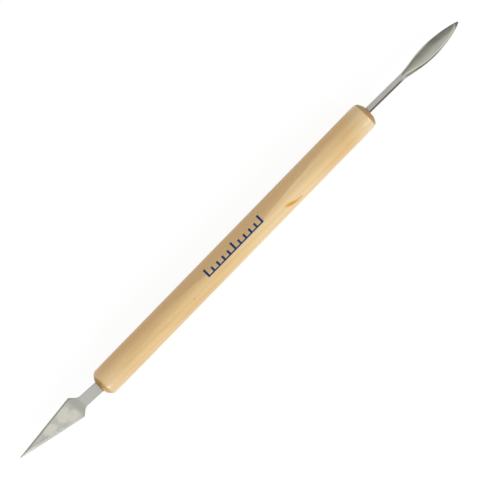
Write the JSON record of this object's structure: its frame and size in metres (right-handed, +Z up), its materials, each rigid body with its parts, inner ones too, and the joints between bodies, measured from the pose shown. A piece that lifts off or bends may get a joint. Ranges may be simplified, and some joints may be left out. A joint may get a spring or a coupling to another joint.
{
  "type": "double-ended pottery tool",
  "caption": "Double-ended clay modelling tool: a slim wooden handle with a flat spear-shaped steel blade glued in at one end and a leaf-shaped steel blade on a round rod at the other.",
  "frame": {"origin": "under the middle of the whole tool, at the centre of its bounding box's bottom, on the surface that it lies on", "axes": "+X along the handle towards the leaf blade, +Z up, +Y towards the side that the spear blade leans to"},
  "size_m": [0.2058, 0.01, 0.01],
  "materials": {
    "handle_wood": "pale hardwood under clear lacquer, satin",
    "spear_steel": "satin, finely ground flat",
    "leaf_steel": "forged and polished, satin",
    "glue": "clear amber, glossy"
  },
  "bodies": {
    "root": {"handle": "handle_wood", "spear_blade": "spear_steel", "spear_glue": "glue", "leaf_blade": "leaf_steel", "leaf_glue": "glue"}
  },
  "joints": []
}
